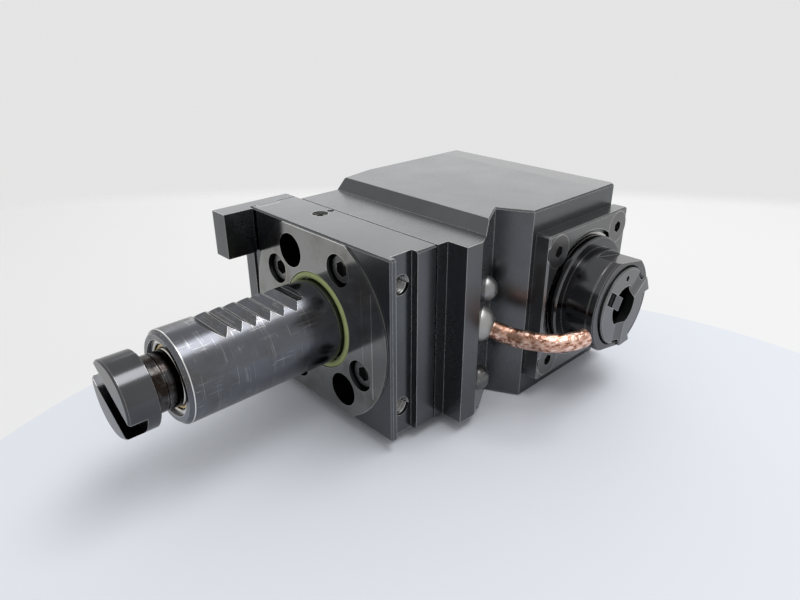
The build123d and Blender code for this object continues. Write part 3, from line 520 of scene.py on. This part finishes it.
def tube_dent(spot):
    """How far the tube's skin moves at a spot, as a share of the deepest dent."""
    wide = noise_at(spot, WIDE_DENTS)
    creases = 1.0 - abs(noise_at(spot, CREASES, shift=9)) * 2.0
    fine = noise_at(spot, FINE_DENTS)
    return 0.5 * wide - 0.8 * max(0.0, creases - 0.55) + 0.22 * fine - 0.25


def make_copper_tube():
    """The coolant tube with the dents and creases of one bent and scraped by hand."""
    mesh = frame["nodes"]["coolant_tube"].data.copy()
    mesh.name = "hammered_tube"
    mesh.materials.clear()
    piece = new_piece("hammered_tube", mesh, "copper", "tube_nozzle")
    remesh = piece.modifiers.new("even", "REMESH")
    remesh.mode = "VOXEL"
    remesh.voxel_size = TUBE_VOXEL
    remesh.use_smooth_shade = True
    ready = bpy.context.evaluated_depsgraph_get()
    dense = bpy.data.meshes.new_from_object(piece.evaluated_get(ready))
    piece.modifiers.clear()
    piece.data = dense
    dense.materials.clear()
    dense.materials.append(FINISHES["copper"])
    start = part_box("coolant_tube")[0].x + TUBE_SMOOTH_END
    normals = [vertex.normal.copy() for vertex in dense.vertices]
    for vertex, normal in zip(dense.vertices, normals):
        spot = vertex.co
        worked = min(1.0, max(0.0, (spot.x - start) / TUBE_WORK_IN))
        push = tube_dent(spot) * TUBE_DENT * (0.25 + 0.75 * worked)
        vertex.co = spot + normal * push
    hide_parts("coolant_tube")


# Camera, studio and light


def make_camera():
    data = bpy.data.cameras.new("camera")
    data.sensor_width = SENSOR
    data.lens = FOCAL_PX / IMAGE_WIDTH * SENSOR
    data.shift_x = (IMAGE_WIDTH / 2 - CENTRE_PX[0]) / IMAGE_WIDTH
    data.shift_y = (CENTRE_PX[1] - IMAGE_HEIGHT / 2) / IMAGE_WIDTH
    data.clip_start = 0.01
    data.clip_end = 20
    camera = bpy.data.objects.new("camera", data)
    camera.location = CAMERA_PLACE
    camera.rotation_euler = (math.radians(90 - CAMERA_PITCH), 0, math.radians(-CAMERA_HEADING))
    scene.collection.objects.link(camera)
    scene.camera = camera


def plain_surface(name, colour):
    """A pale matte surface."""
    material, tree, shader = new_material(name)
    patch = grain(tree, place(tree), 9.0, 3.0)
    tint = blend_colour(tree, patch, opaque(colour, 0.985), opaque(colour))
    drive(tree, shader, "Base Color", tint)
    drive(tree, shader, "Roughness", 0.55)
    drive(tree, shader, "Specular IOR Level", 0.2)
    return material, tree, shader


def floor_surface(name, colour):
    """The same, fading out towards its rim, where the backdrop shows instead."""
    material, tree, shader = plain_surface(name, colour)
    where = add(tree, "ShaderNodeNewGeometry").outputs["Position"]
    from_middle = add(tree, "ShaderNodeVectorMath", {0: where, 1: (*FLOOR_CENTRE, 0)},
                      operation="SUBTRACT").outputs[0]
    flat = add(tree, "ShaderNodeVectorMath", {0: from_middle, 1: (1, 1, 0)},
               operation="MULTIPLY").outputs[0]
    distance = add(tree, "ShaderNodeVectorMath", {0: flat}, operation="LENGTH").outputs["Value"]
    faded = calc(tree, "SUBTRACT", 1.0, ramp(tree, distance, FLOOR_FADE, FLOOR_RADIUS))
    drive(tree, shader, "Alpha", faded)
    return material


def make_disc(name, centre, radius, top_z, thickness, material):
    """A round slab, placed by its top."""
    mesh = bpy.data.meshes.new(name)
    built = bmesh.new()
    bmesh.ops.create_circle(built, cap_ends=True, segments=256, radius=radius)
    bmesh.ops.solidify(built, geom=built.faces[:], thickness=thickness)
    built.to_mesh(mesh)
    built.free()
    mesh.materials.append(material)
    highest = max(vertex.co.z for vertex in mesh.vertices)
    slab = bpy.data.objects.new(name, mesh)
    slab.location = (*centre, top_z - highest)
    scene.collection.objects.link(slab)


def make_studio():
    """A pale round table on a white floor."""
    table_paint = plain_surface("table_paint", TABLE_COLOUR)[0]
    make_disc("table", TABLE_CENTRE, TABLE_RADIUS, FLOOR_Z, TABLE_THICKNESS, table_paint)
    floor_paint = floor_surface("floor_paint", FLOOR_COLOUR)
    floor_top = FLOOR_Z - TABLE_THICKNESS - FLOOR_GAP
    make_disc("floor", FLOOR_CENTRE, FLOOR_RADIUS, floor_top, FLOOR_THICKNESS, floor_paint)


def make_world():
    """Pale grey where the camera and the metal look, softer where it only lights."""
    world = bpy.data.worlds.new("world")
    scene.world = world
    world.use_nodes = True
    tree = world.node_tree
    background = tree.nodes["Background"]
    paths = add(tree, "ShaderNodeLightPath").outputs
    mirrored = calc(tree, "MAXIMUM", paths["Is Glossy Ray"], paths["Is Transmission Ray"])
    seen = calc(tree, "MAXIMUM", paths["Is Camera Ray"], mirrored)
    background.inputs[0].default_value = (1, 1, 1, 1)
    tree.links.new(blend_value(tree, seen, WORLD_LIGHT, WORLD_SEEN), background.inputs[1])


def soft_light(name, place_at, aim, size, watts):
    data = bpy.data.lights.new(name, "AREA")
    data.shape = "RECTANGLE"
    data.size, data.size_y = size
    data.energy = watts
    lamp = bpy.data.objects.new(name, data)
    lamp.location = place_at
    direction = Vector(aim) - Vector(place_at)
    lamp.rotation_euler = direction.to_track_quat("-Z", "Y").to_euler()
    scene.collection.objects.link(lamp)


dress_frame()
make_threads()
make_copper_tube()
make_camera()
make_studio()
make_world()
soft_light("key", place_at=(0.20, -0.22, 0.80), aim=(0.02, 0.0, 0.0), size=(0.7, 0.32), watts=3.5)
soft_light("back", place_at=(0.60, 0.62, 0.42), aim=(0.04, 0.0, 0.03), size=(0.9, 0.5), watts=1.25)
scene.view_settings.view_transform = "Standard"
